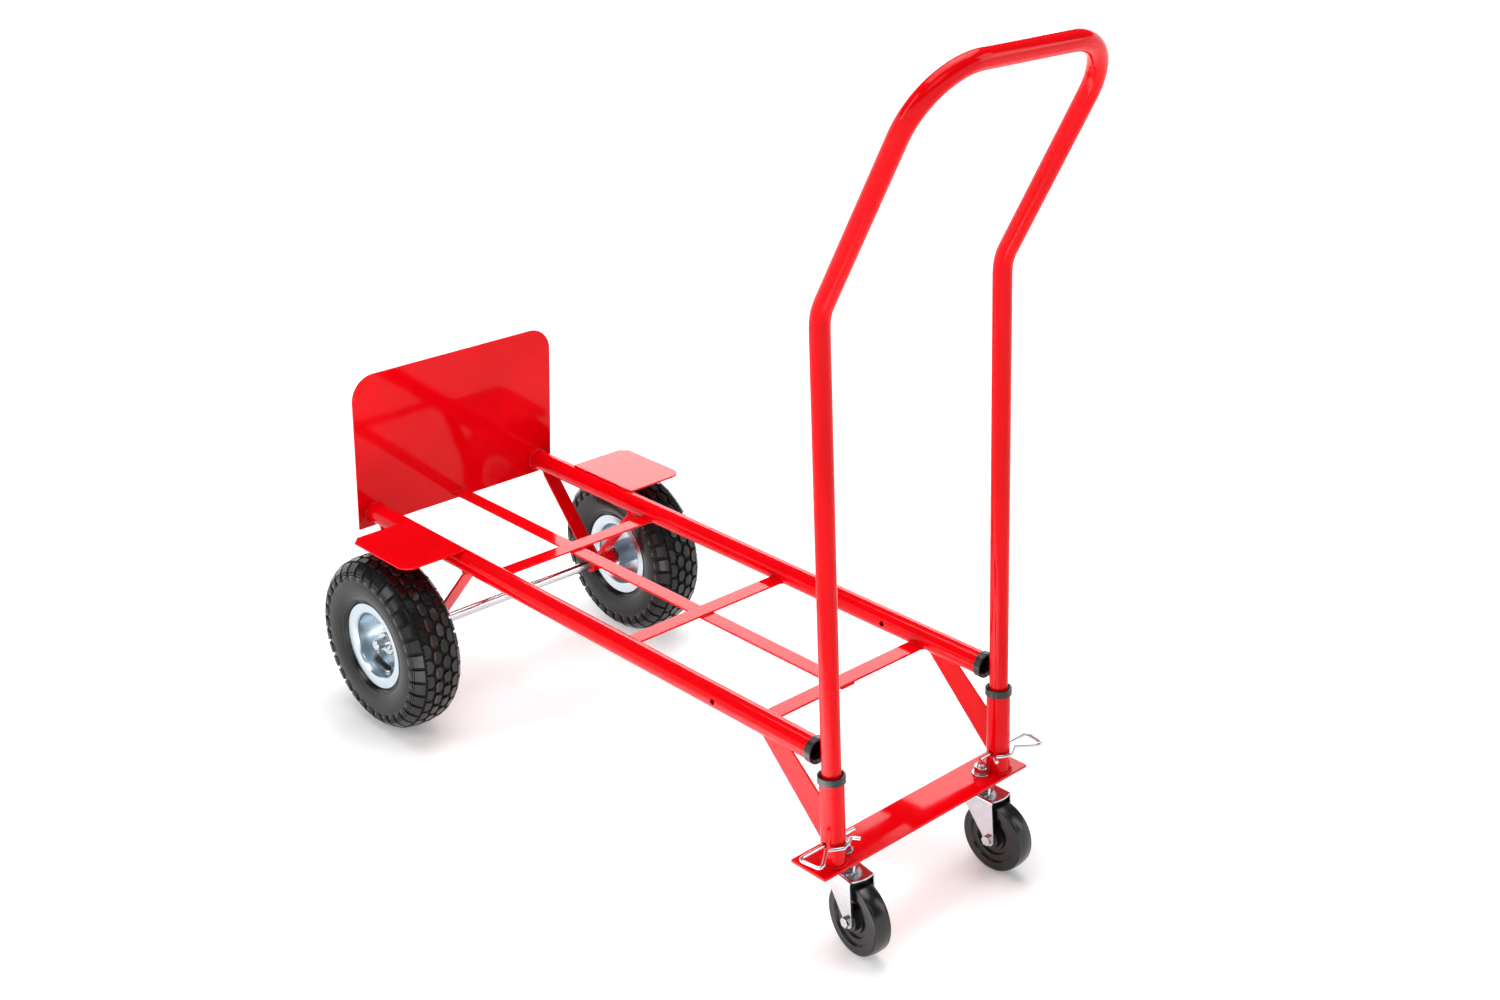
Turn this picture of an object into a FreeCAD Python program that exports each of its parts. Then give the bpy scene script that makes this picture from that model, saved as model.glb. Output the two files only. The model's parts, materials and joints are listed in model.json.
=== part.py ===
"""Convertible hand truck in its platform position, as a parametric FreeCAD document.

The deck lies level on two pneumatic wheels and two swivel casters, and the handle stands in the
sleeves over the casters.  Millimetres.  +Z is up, +X runs from the toe plate to the casters, and
the origin is on the floor under the middle of the whole object.
"""
import FreeCAD, Part
import Sketcher
import math
import os

VECTOR = FreeCAD.Vector
X_AXIS, Y_AXIS, Z_AXIS = VECTOR(1, 0, 0), VECTOR(0, 1, 0), VECTOR(0, 0, 1)
SIDES = {"left": 1, "right": -1}

# Driving dimensions.  Every *_x is measured from the toe plate's face, every *_above is above the
# floor, and the sleeve heights run along the leaning sleeve from the top of the caster plate.
DIMENSIONS = {
    "toe_face_x": -562.16, "toe_width": 381, "toe_top_above": 510.5, "toe_bottom_above": 255,
    "toe_thickness": 3, "toe_lean": 2.4, "toe_corner_radius": 40,
    "rail_above": 279, "rail_half_spacing": 161.4, "rail_od": 32, "rail_bore": 29,
    "rail_start_x": 0.8, "rail_end_x": 985, "rail_hole_x": 807, "pin_hole_diameter": 8,
    "collar_od": 36, "collar_skirt": 8, "collar_lip": 2, "collar_bore": 26, "collar_liner": 24,
    "collar_mouth": 32, "collar_gap": 0.15,
    "bar_width": 25, "bar_thickness": 3, "crossbar_drop": 8, "crossbar_reach": 147.5,
    "crossbar_front_x": 298, "crossbar_middle_x": 592.5, "crossbar_rear_x": 870.5,
    "fender_start_x": 100, "fender_length": 146, "fender_reach": 109, "fender_thickness": 3,
    "fender_chamfer": 13, "fender_round": 22,
    "axle_x": 149, "axle_above": 137.5, "axle_od": 16, "axle_length": 542,
    "strut_front_x": 34, "strut_rear_x": 252, "strut_width": 25, "strut_thickness": 4,
    "boss_od": 27, "boss_inner": 148, "boss_outer": 194, "axle_gap": 0.1,
    "wheel_half_track": 241, "tyre_od": 275, "tyre_width": 87, "tyre_wall": 7, "bead_radius": 52.5,
    "rim_flange_radius": 68, "rim_seat_radius": 52, "rim_sheet": 2, "rim_half_width": 31,
    "rim_bolt_circle": 76, "rim_bolt_count": 4, "hub_od": 41, "hub_half_length": 27.25,
    "hub_inset": 16.75, "bearing_od": 35, "bearing_width": 11, "bearing_ball": 5.6, "bearing_ball_count": 9,
    "tube_radius": 29, "tube_circle_radius": 92, "tube_wall": 2, "stem_diameter": 9,
    "plate_x": 1007.5, "plate_width": 60, "plate_half_length": 198, "plate_top_above": 131,
    "plate_thickness": 4, "handle_lean": 3.8, "sleeve_foot_x": 1016.8, "sleeve_length": 123,
    "lock_pin_height": 30, "gusset_start_x": 882, "gusset_end_x": 934, "gusset_thickness": 3,
    "gusset_top_above": 212, "gusset_foot_above": 150,
    "leg_od": 25.4, "leg_bore": 22.4, "leg_length": 714, "upper_length": 331, "handle_bend": 30,
    "bend_radius": 60, "top_corner_radius": 85, "leg_foot_gap": 2,
    "kingpin_x": 1009, "kingpin_half_spacing": 134, "kingpin_diameter": 11,
    "caster_trail": 36, "caster_swivel_left": 0, "caster_swivel_right": -9,
    "caster_wheel_od": 101.6, "caster_wheel_width": 27, "caster_axle_above": 50.8,
    "caster_axle_diameter": 8, "fork_gap": 36, "fork_sheet": 2.5, "race_od": 46,
    "lock_wire": 5, "lock_reach_out": 61, "lock_reach_in": 38,
}

doc = FreeCAD.newDocument("hand_truck")
sheet = doc.addObject("Spreadsheet::Sheet", "Dims")
NODES = []


class Size:
    """A number together with the expression that gives it from the spreadsheet's cells."""

    def __init__(self, value, text):
        self.value, self.text = float(value), text

    def _combine(self, other, sign, value):
        return Size(value, "(%s %s %s)" % (self.text, sign, size(other).text))

    def __add__(self, other):
        return self._combine(other, "+", self.value + size(other).value)

    def __sub__(self, other):
        return self._combine(other, "-", self.value - size(other).value)

    def __mul__(self, other):
        return self._combine(other, "*", self.value * size(other).value)

    def __truediv__(self, other):
        return self._combine(other, "/", self.value / size(other).value)

    def __neg__(self):
        return self * -1

    def __radd__(self, other):
        return size(other) + self

    def __rsub__(self, other):
        return size(other) - self

    def __rmul__(self, other):
        return size(other) * self


def size(number):
    """Take a plain number as a Size; a Size is returned as it is."""
    return number if isinstance(number, Size) else Size(number, repr(float(number)))


def of_angle(function, name, angle):
    """The sine, cosine or tangent of a Size in degrees."""
    return Size(function(math.radians(angle.value)), "%s(%s * 1 deg)" % (name, angle.text))


class Cells:
    """The spreadsheet's cells as Sizes, by their aliases."""

    def __init__(self, numbers):
        for row, (alias, number) in enumerate(numbers.items(), start=1):
            sheet.set("A%d" % row, alias)
            sheet.set("B%d" % row, str(number))
            sheet.setAlias("B%d" % row, alias)
            setattr(self, alias, Size(number, "Dims." + alias))


D = Cells(DIMENSIONS)
doc.recompute()

# Places that several pieces share, worked out from the driving dimensions.
LEAN_SIN = of_angle(math.sin, "sin", D.handle_lean)
LEAN_COS = of_angle(math.cos, "cos", D.handle_lean)
LEAN_TAN = of_angle(math.tan, "tan", D.handle_lean)
AXLE_X = D.toe_face_x + D.axle_x
SLEEVE_X = D.toe_face_x + D.sleeve_foot_x
PLATE_BOTTOM = D.plate_top_above - D.plate_thickness
RAIL_RADIUS = D.rail_od / 2


# ---------------------------------------------------------------- helpers

def put(piece, x=0, y=0, z=0, turn_axis=None, turn=0):
    """Place a piece: its base and its angle follow the spreadsheet."""
    piece.Placement = FreeCAD.Placement(VECTOR(), FreeCAD.Rotation(turn_axis or Z_AXIS, 1))
    piece.setExpression("Placement.Rotation.Angle", size(turn).text)
    for key, where in zip("xyz", (x, y, z)):
        piece.setExpression("Placement.Base." + key, size(where).text)
    return piece


def label(piece, name):
    piece.Label = name
    NODES.append(piece)
    return piece


def body(name):
    return label(doc.addObject("PartDesign::Body", name), name)


def fix_point(sketch, geometry, position, point):
    """Hold one sketch point at its distance from the sketch's origin, bound to the sheet."""
    for kind, along in (("DistanceX", point[0]), ("DistanceY", point[1])):
        constraint = Sketcher.Constraint(kind, -1, 1, geometry, position, size(along).value)
        index = sketch.addConstraint(constraint)
        sketch.setExpression("Constraints[%d]" % index, size(along).text)


def root_of(number):
    return Size(math.sqrt(number.value), "sqrt(%s)" % number.text)


def arc_edge(start, end, bulge):
    """An arc whose middle stands off its chord by bulge, to the left of the travel."""
    chord = end - start
    side = VECTOR(-chord.y, chord.x, 0).normalize() * bulge
    return Part.Arc(start, (start + end) / 2 + side, end)


def arc_radius(start, end, bulge):
    """The radius of the arc between two outline points, as a Size."""
    across, up = size(end[0]) - start[0], size(end[1]) - start[1]
    chord = root_of(across * across + up * up)
    return chord * chord / (size(abs(bulge)) * 8) + size(abs(bulge)) / 2


def attach_sketch(owner, plane):
    """An empty sketch on one of its own body's origin planes."""
    sketch = owner.newObject("Sketcher::SketchObject", owner.Name + "_sketch")
    origin_plane = [f for f in owner.Origin.OriginFeatures if f.Role == plane][0]
    sketch.AttachmentSupport = (origin_plane, [""])
    sketch.MapMode = "FlatFace"
    return sketch


def add_outline(sketch, points):
    """A closed outline of (x, y) corners; a third entry bulges the edge that leads to its corner."""
    places = [VECTOR(size(p[0]).value, size(p[1]).value, 0) for p in points]
    ends = []
    for index, start in enumerate(places):
        goal = points[(index + 1) % len(points)]
        end = places[(index + 1) % len(points)]
        bulge = goal[2] if len(goal) > 2 else 0
        edge = arc_edge(start, end, bulge) if bulge else Part.LineSegment(start, end)
        geometry = sketch.addGeometry(edge)
        forward = (sketch.getPoint(geometry, 1) - start).Length < 1e-6
        ends.append((geometry, 1, 2) if forward else (geometry, 2, 1))
        if bulge:
            radius = arc_radius(points[index], goal, bulge)
            held = sketch.addConstraint(Sketcher.Constraint("Radius", geometry, radius.value))
            sketch.setExpression("Constraints[%d]" % held, radius.text)
    for index, (geometry, start, _) in enumerate(ends):
        before, _, before_end = ends[index - 1]
        sketch.addConstraint(Sketcher.Constraint("Coincident", before, before_end, geometry, start))
        fix_point(sketch, geometry, start, points[index])


def quarter_bulge(radius):
    """How far a quarter circle's middle stands off its chord."""
    return size(radius).value * (1 - math.sqrt(0.5))


def add_circle(sketch, diameter, x=0, y=0):
    centre = VECTOR(size(x).value, size(y).value, 0)
    geometry = sketch.addGeometry(Part.Circle(centre, Z_AXIS, size(diameter).value / 2))
    fix_point(sketch, geometry, 3, (x, y))
    held = sketch.addConstraint(Sketcher.Constraint("Diameter", geometry, size(diameter).value))
    sketch.setExpression("Constraints[%d]" % held, size(diameter).text)


def pad(owner, sketch, length, midplane=False):
    feature = owner.newObject("PartDesign::Pad", owner.Name + "_pad")
    feature.Profile = sketch
    feature.Midplane = midplane
    feature.setExpression("Length", size(length).text)
    sketch.Visibility = False
    return feature


def revolve(owner, points, plane, axis):
    """Turn a closed outline a full circle about one axis of its sketch."""
    sketch = attach_sketch(owner, plane)
    add_outline(sketch, points)
    feature = owner.newObject("PartDesign::Revolution", owner.Name + "_turned")
    feature.Profile = sketch
    feature.ReferenceAxis = (sketch, [axis])
    feature.Angle = 360
    return owner


def drill(owner, plane, circles):
    """Cut round holes right through a body, square to one of its origin planes."""
    doc.recompute()
    before = owner.Shape.Volume
    sketch = attach_sketch(owner, plane)
    for circle in circles:
        add_circle(sketch, *circle)
    pocket = owner.newObject("PartDesign::Pocket", owner.Name + "_holes")
    pocket.Profile = sketch
    pocket.Type = "ThroughAll"
    pocket.Midplane = True
    doc.recompute()
    if not owner.Shape.Volume < before:
        raise RuntimeError("%s: its holes cut nothing" % owner.Label)


def plate(name, plane, points, thickness, midplane=False):
    """A flat plate padded from one outline."""
    owner = body(name)
    sketch = attach_sketch(owner, plane)
    add_outline(sketch, points)
    pad(owner, sketch, thickness, midplane)
    return owner


def tube(name, plane, outer, inner, length, midplane=False):
    """A round tube padded from two circles."""
    owner = body(name)
    sketch = attach_sketch(owner, plane)
    add_circle(sketch, outer)
    add_circle(sketch, inner)
    pad(owner, sketch, length, midplane)
    return owner


def rounded_path(corners, radii):
    """A wire of straight runs joined by arcs that are tangent to both."""
    edges, start = [], corners[0]
    for index, radius in enumerate(radii, start=1):
        corner = corners[index]
        back = (corners[index - 1] - corner).normalize()
        ahead = (corners[index + 1] - corner).normalize()
        half = back.getAngle(ahead) / 2
        first, last = corner + back * (radius / math.tan(half)), corner + ahead * (radius / math.tan(half))
        middle = corner + (back + ahead).normalize() * (radius / math.sin(half) - radius)
        edges += [Part.LineSegment(start, first).toShape(), Part.Arc(first, middle, last).toShape()]
        start = last
    edges.append(Part.LineSegment(start, corners[-1]).toShape())
    return Part.Wire(edges)


def round_bar(path, diameter):
    """A solid round bar along a path."""
    first = path.Edges[0]
    circle = Part.Circle(first.Vertexes[0].Point, first.tangentAt(first.FirstParameter), diameter / 2)
    return path.makePipeShell([Part.Wire(circle.toShape())], True, False)


def free_shape(name, shape):
    """A piece whose shape is made directly, for bent wire, balls and groups of fasteners."""
    feature = label(doc.addObject("Part::Feature", name), name)
    feature.Shape = shape
    return feature


def hexagon(across_flats, height):
    """A hexagonal prism that stands on the origin along +Z."""
    corner = across_flats / math.sqrt(3)
    points = [VECTOR(corner * math.cos(math.radians(60 * k)), corner * math.sin(math.radians(60 * k)), 0)
              for k in range(7)]
    return Part.Face(Part.makePolygon(points)).extrude(Z_AXIS * height)


def moved(shape, x=0, y=0, z=0, axis=None, angle=0):
    """A copy of a shape, turned about the origin and then shifted."""
    copy = shape.copy()
    copy.rotate(VECTOR(), axis or Z_AXIS, angle)
    copy.translate(VECTOR(x, y, z))
    return copy


def ball_ring(count, circle_radius, ball, axis, height=0):
    """Balls spaced evenly round an axis through the origin."""
    first = VECTOR(circle_radius, 0, height) if axis == Z_AXIS else VECTOR(circle_radius, height, 0)
    sphere = Part.makeSphere(ball / 2, first)
    return [moved(sphere, axis=axis, angle=360 / count * k) for k in range(count)]


# ---------------------------------------------------------------- deck frame

def toe_plate():
    half = D.toe_width / 2
    low, high = D.toe_bottom_above - D.rail_above, D.toe_top_above - D.rail_above
    radius = D.toe_corner_radius
    bulge = -quarter_bulge(radius)
    outline = [(-half, low), (half, low), (half, high - radius), (half - radius, high, bulge),
               (radius - half, high), (-half, high - radius, bulge)]
    piece = plate("toe_plate", "YZ_Plane", outline, D.toe_thickness)
    piece.Tip.Reversed = True
    put(piece, D.toe_face_x, 0, D.rail_above, Y_AXIS, D.toe_lean)


def rail(side, sign):
    piece = tube("rail_" + side, "YZ_Plane", D.rail_od, D.rail_bore, D.rail_end_x - D.rail_start_x)
    drill(piece, "XZ_Plane", [(D.pin_hole_diameter, D.rail_hole_x - D.rail_start_x, 0)])
    put(piece, D.toe_face_x + D.rail_start_x, sign * D.rail_half_spacing, D.rail_above)


def collar(name):
    """Plastic collar on a tube's open end: skirt outside, lip over the end, liner in the bore."""
    outside, gap = D.rail_od / 2 + D.collar_gap, D.collar_gap
    inside, bore = D.rail_bore / 2 - gap, D.collar_bore / 2
    outline = [(D.collar_mouth / 2, D.collar_lip), (bore, -1), (bore, -D.collar_liner),
               (inside, -D.collar_liner), (inside, 0),
               (outside, 0), (outside, -D.collar_skirt), (D.collar_od / 2, -D.collar_skirt),
               (D.collar_od / 2, D.collar_lip - 1), (D.collar_od / 2 - 1, D.collar_lip, -quarter_bulge(1))]
    return revolve(body(name), outline, "XZ_Plane", "V_Axis")


def rail_collar(side, sign):
    piece = collar("rail_collar_" + side)
    put(piece, D.toe_face_x + D.rail_end_x, sign * D.rail_half_spacing, D.rail_above, Y_AXIS, 90)


def crossbar(name, where):
    half, reach = D.bar_width / 2, D.crossbar_reach
    outline = [(-half, -reach), (half, -reach), (half, reach), (-half, reach)]
    piece = plate("crossbar_" + name, "XY_Plane", outline, D.bar_thickness)
    put(piece, D.toe_face_x + where, 0, D.rail_above - D.crossbar_drop - D.bar_thickness)


def centre_bar():
    half = D.bar_width / 2
    length = D.crossbar_rear_x + half - D.rail_start_x
    outline = [(0, -half), (length, -half), (length, half), (0, half)]
    piece = plate("centre_bar", "XY_Plane", outline, D.bar_thickness)
    put(piece, D.toe_face_x + D.rail_start_x, 0, D.rail_above - D.crossbar_drop - D.bar_thickness * 2)


def fender(side, sign):
    """Flat plate on the rail's top line, with its outer corners cut off or rounded."""
    length, reach, cut, turn = D.fender_length, D.fender_reach, D.fender_chamfer, D.fender_round
    outline = [(0, 0), (length, 0), (length, sign * (reach - turn)),
               (length - turn, sign * reach, -sign * quarter_bulge(turn)), (cut, sign * reach),
               (0, sign * (reach - cut))]
    piece = plate("fender_" + side, "XY_Plane", outline, D.fender_thickness)
    put(piece, D.toe_face_x + D.fender_start_x, sign * D.rail_half_spacing, D.rail_above + RAIL_RADIUS)


def strut(end, top_x, side, sign):
    """Flat bar from under the rail to the axle boss, its foot square and tangent to the boss."""
    rise = D.rail_above - RAIL_RADIUS - D.axle_above
    run = D.toe_face_x + top_x - AXLE_X
    slope = math.atan2(run.value, rise.value)
    foot = D.boss_od / 2
    half = D.strut_thickness / 2
    along = (Size(math.sin(slope), "sin(atan(%s / %s))" % (run.text, rise.text)),
             Size(math.cos(slope), "cos(atan(%s / %s))" % (run.text, rise.text)))
    foot_x, foot_z = foot * along[0], foot * along[1]
    side_x, side_z = half * along[1], half * along[0]
    top_half = half / along[1]
    outline = [(foot_x - side_x, foot_z + side_z), (foot_x + side_x, foot_z - side_z),
               (run + top_half, rise), (run - top_half, rise)]
    piece = plate("strut_%s_%s" % (end, side), "XZ_Plane", outline, D.strut_width, midplane=True)
    put(piece, AXLE_X, sign * D.rail_half_spacing, D.axle_above)


def axle_boss(side, sign):
    length = D.boss_outer - D.boss_inner
    piece = tube("axle_boss_" + side, "XZ_Plane", D.boss_od, D.axle_od + D.axle_gap * 2, length, True)
    put(piece, AXLE_X, sign * (D.boss_inner + D.boss_outer) / 2, D.axle_above)


def cross_plate():
    half, reach = D.plate_width / 2, D.plate_half_length
    outline = [(-half, -reach), (half, -reach), (half, reach), (-half, reach)]
    piece = plate("caster_plate", "XY_Plane", outline, D.plate_thickness)
    hole, x = D.kingpin_diameter + 0.6, D.kingpin_x - D.plate_x
    drill(piece, "XY_Plane", [(hole, x, D.kingpin_half_spacing), (hole, x, -D.kingpin_half_spacing)])
    put(piece, D.toe_face_x + D.plate_x, 0, PLATE_BOTTOM)


def sleeve(side, sign):
    """Leaning socket tube, its foot cut level so that it stands on the caster plate."""
    owner = body("sleeve_" + side)
    ring = attach_sketch(owner, "XY_Plane")
    ring.setExpression("AttachmentOffset.Base.z", (-RAIL_RADIUS * LEAN_TAN).text)
    add_circle(ring, D.rail_od)
    add_circle(ring, D.rail_bore)
    pad(owner, ring, D.sleeve_length + RAIL_RADIUS * LEAN_TAN)
    drill(owner, "XZ_Plane", [(D.pin_hole_diameter, 0, D.lock_pin_height)])
    wedge = attach_sketch(owner, "XZ_Plane")
    reach = D.rail_od
    rise = reach * LEAN_TAN
    add_outline(wedge, [(-reach, rise), (-reach, -reach), (reach, -reach), (reach, -rise)])
    cut = owner.newObject("PartDesign::Pocket", owner.Name + "_foot")
    cut.Profile = wedge
    cut.Type = "ThroughAll"
    cut.Midplane = True
    put(owner, SLEEVE_X, sign * D.rail_half_spacing, D.plate_top_above, Y_AXIS, -D.handle_lean)


def sleeve_collar(side, sign):
    piece = collar("sleeve_collar_" + side)
    put(piece, SLEEVE_X - D.sleeve_length * LEAN_SIN, sign * D.rail_half_spacing,
        D.plate_top_above + D.sleeve_length * LEAN_COS, Y_AXIS, -D.handle_lean)


def gusset(side, sign):
    """Plate that braces the sleeve from under the rail, its long edge against the sleeve's back."""
    def sleeve_back(above):
        return (D.sleeve_foot_x - RAIL_RADIUS / LEAN_COS - (above - D.plate_top_above) * LEAN_TAN,
                above - D.rail_above)
    outline = [(D.gusset_start_x, -RAIL_RADIUS), sleeve_back(D.gusset_foot_above),
               sleeve_back(D.gusset_top_above), (D.gusset_end_x, -RAIL_RADIUS)]
    piece = plate("gusset_" + side, "XZ_Plane", outline, D.gusset_thickness, midplane=True)
    put(piece, D.toe_face_x, sign * D.rail_half_spacing, D.rail_above)


# ---------------------------------------------------------------- axle and big wheels

AXLE_WASHER_OD, AXLE_WASHER_THICKNESS, COTTER_WIRE = 30, 2.5, 3
BEARING_WALL = 3.2
RIM_BOLT, RIM_BOLT_FLATS = 8, 13
STEM_OFFSET, VALVE_TURN = 10, 177


def axle():
    owner = body("axle")
    sketch = attach_sketch(owner, "XZ_Plane")
    add_circle(sketch, D.axle_od)
    bar = pad(owner, sketch, D.axle_length, midplane=True)
    doc.recompute()
    ends = ["Edge%d" % (i + 1) for i, edge in enumerate(bar.Shape.Edges) if edge.isClosed()]
    chamfer = owner.newObject("PartDesign::Chamfer", "axle_chamfer")
    chamfer.Base = (bar, ends)
    chamfer.Size = 1
    cotter_y = hub_centre() + D.hub_half_length + AXLE_WASHER_THICKNESS + 3.5
    drill(owner, "XY_Plane", [(COTTER_WIRE + 0.6, 0, cotter_y), (COTTER_WIRE + 0.6, 0, -cotter_y)])
    put(owner, AXLE_X, 0, D.axle_above)


def hub_centre():
    """Distance of a hub's middle from the truck's middle; the hub is set inwards in its wheel."""
    return D.wheel_half_track - D.hub_inset


def axle_fittings():
    """Washers and cotter pins outside the hubs, and the bearings' inner races: fixed to the axle."""
    x, z = AXLE_X.value, D.axle_above.value
    hub_end = (hub_centre() + D.hub_half_length).value
    bore = D.axle_od.value / 2 + D.axle_gap.value
    washers, pins, races = [], [], []
    for sign in SIDES.values():
        face = sign * (hub_end + 0.3) if sign > 0 else sign * (hub_end + 0.3 + AXLE_WASHER_THICKNESS)
        ring = Part.makeCylinder(AXLE_WASHER_OD / 2, AXLE_WASHER_THICKNESS, VECTOR(x, face, z), Y_AXIS)
        hole = Part.makeCylinder(bore, AXLE_WASHER_THICKNESS, VECTOR(x, face, z), Y_AXIS)
        washers.append(ring.cut(hole))
        pin_y = sign * (hub_end + AXLE_WASHER_THICKNESS + 3.5)
        shank = Part.makeCylinder(COTTER_WIRE / 2, 28, VECTOR(x, pin_y, z - 12), Z_AXIS)
        eye = Part.makeTorus(3.2, COTTER_WIRE / 2, VECTOR(x, pin_y, z + 18), X_AXIS)
        pins.append(shank.fuse(eye))
        for end in (1, -1):
            middle = sign * hub_centre().value + end * (D.hub_half_length - D.bearing_width / 2).value
            start = VECTOR(x, middle - D.bearing_width.value / 2, z)
            outer = Part.makeCylinder(bore + BEARING_WALL, D.bearing_width.value, start, Y_AXIS)
            inner = Part.makeCylinder(bore, D.bearing_width.value, start, Y_AXIS)
            groove = Part.makeTorus(ball_circle(), D.bearing_ball.value / 2 + 0.1, VECTOR(x, middle, z), Y_AXIS)
            races.append(outer.cut(inner).cut(groove))
    free_shape("axle_washers", Part.makeCompound(washers))
    free_shape("cotter_pins", Part.makeCompound(pins))
    free_shape("bearing_inner_races", Part.makeCompound(races))


def ball_circle():
    """Radius of the circle through the middles of a wheel bearing's balls."""
    inner = D.axle_od.value / 2 + D.axle_gap.value + BEARING_WALL
    return (inner + D.bearing_od.value / 2 - BEARING_WALL) / 2


def wheel_body(name, outline, side):
    """A turned wheel piece, its axis along the axle."""
    piece = revolve(body(name), outline, "XY_Plane", "V_Axis")
    return place_on_axle(piece, side)


def place_on_axle(piece, side, turn=0):
    return put(piece, AXLE_X, SIDES[side] * D.wheel_half_track, D.axle_above, Y_AXIS, turn)


def tyre(side):
    """Open ring of rubber: flat crown, bulged walls, and two beads that sit on the rim."""
    crown, half, wall = D.tyre_od / 2, D.tyre_width / 2, D.tyre_wall
    widest = (crown + D.rim_flange_radius) / 2 - 6
    shoulder, tread = half - 4, half - 16
    bead, inside = D.bead_radius, crown - wall - 5
    flange, bead_half = D.rim_flange_radius + 1.5, D.rim_half_width - 1
    outer = [(crown - 1.5, -tread, 1.5), (crown - 9, -shoulder, 1), (widest, -half, 2), (flange, -bead_half, 4),
             (bead + 7, -bead_half), (bead, 7 - bead_half), (bead, 16 - bead_half)]
    cavity = [(widest, wall - half, -4), (inside, 8 - shoulder, -4)]
    return wheel_body("tyre_" + side, outer + cavity + mirrored(outer + cavity), side)


def mirrored(run):
    """The same run of outline points across the sketch's x axis, walked backwards."""
    bulges = [p[2] if len(p) > 2 else 0 for p in run]
    back = []
    for index in range(len(run) - 1, -1, -1):
        bulge = bulges[index + 1] if index + 1 < len(run) else 0
        back.append((run[index][0], -run[index][1]) + ((bulge,) if bulge else ()))
    return back


def rim_half(name, sign, side):
    """Pressed half of the rim: disc on the wheel's middle plane, bead seat and turned-up flange."""
    metal, seat, edge = D.rim_sheet, D.rim_seat_radius, D.rim_half_width
    hub = D.hub_od / 2 + 0.1
    outline = [(hub, 0), (seat, 0), (seat, edge - 6), (seat + 6, edge, quarter_bulge(6)),
               (D.rim_flange_radius, edge), (D.rim_flange_radius, edge + metal), (seat + 6, edge + metal),
               (seat - metal, edge - 6, -quarter_bulge(metal + 6)), (seat - metal, metal), (hub, metal)]
    flipped = [(p[0], sign * p[1]) + tuple(sign * b for b in p[2:]) for p in outline]
    return wheel_body(name, flipped, side)


def rim(side, sign):
    """Both halves of a rim, drilled for its bolts; the outer half also for the valve stem."""
    bolts = [(RIM_BOLT + 0.6, radius * math.cos(turn), radius * math.sin(turn))
             for radius, turn in rim_bolt_places()]
    for face, direction in (("outer", sign), ("inner", -sign)):
        half = rim_half("rim_%s_%s" % (face, side), direction, side)
        drill(half, "XZ_Plane", bolts)
        if face == "outer":
            doc.recompute()
            sketch = attach_sketch(half, "XY_Plane")
            add_circle(sketch, D.stem_diameter + 1, 0, sign * STEM_OFFSET)
            pocket = half.newObject("PartDesign::Pocket", half.Name + "_valve_hole")
            pocket.Profile = sketch
            pocket.Type = "ThroughAll"
            pocket.Reversed = True
        place_on_axle(half, side, VALVE_TURN)


def rim_bolt_places():
    """Polar places of the rim bolts on the disc."""
    count = int(D.rim_bolt_count.value)
    return [(D.rim_bolt_circle.value / 2, math.pi / count + 2 * math.pi / count * k) for k in range(count)]


def hub(side, sign):
    """Tube through both rim halves, counterbored at each end for a ball bearing."""
    outer, seat, half = D.hub_od / 2, D.bearing_od / 2, D.hub_half_length
    bore, depth, middle = seat - 3, half - D.bearing_width, D.hub_inset * -sign
    outline = [(outer, middle - half), (seat, middle - half), (seat, middle - depth), (bore, middle - depth),
               (bore, middle + depth), (seat, middle + depth), (seat, middle + half), (outer, middle + half)]
    return wheel_body("hub_" + side, outline, side)


def wheel_bearings(side, sign):
    """Outer races and balls of a wheel's two bearings."""
    width, half = D.bearing_width.value, D.hub_half_length.value
    outer, ball = D.bearing_od.value / 2, D.bearing_ball.value
    solids = []
    for end in (1, -1):
        middle = end * (half - width / 2) - sign * D.hub_inset.value
        start = VECTOR(0, middle - width / 2, 0)
        race = Part.makeCylinder(outer, width, start, Y_AXIS)
        race = race.cut(Part.makeCylinder(outer - BEARING_WALL, width, start, Y_AXIS))
        solids.append(race.cut(Part.makeTorus(ball_circle(), ball / 2 + 0.1, VECTOR(0, middle, 0), Y_AXIS)))
        solids += ball_ring(int(D.bearing_ball_count.value), ball_circle(), ball, Y_AXIS, middle)
    place_on_axle(free_shape("wheel_bearings_" + side, Part.makeCompound(solids)), side)


def inner_tube(side, sign):
    """Hollow rubber ring with its valve stem, which leans outwards through the rim."""
    circle, tube_r, wall = D.tube_circle_radius.value, D.tube_radius.value, D.tube_wall.value
    ring = Part.makeTorus(circle, tube_r, VECTOR(), Y_AXIS).cut(
        Part.makeTorus(circle, tube_r - wall, VECTOR(), Y_AXIS))
    root = VECTOR(0, sign * STEM_OFFSET, circle - tube_r + 2)
    bend = VECTOR(0, sign * STEM_OFFSET, D.rim_seat_radius.value - 5)
    tip = VECTOR(0, sign * (STEM_OFFSET + 19), D.rim_seat_radius.value - 29.5)
    path = rounded_path([root, bend, tip], [12])
    stem = round_bar(path, D.stem_diameter.value)
    hollow = Part.makeTorus(circle, tube_r - wall, VECTOR(), Y_AXIS)
    place_on_axle(free_shape("inner_tube_" + side, ring.fuse(stem.cut(hollow))), side, VALVE_TURN)


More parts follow.
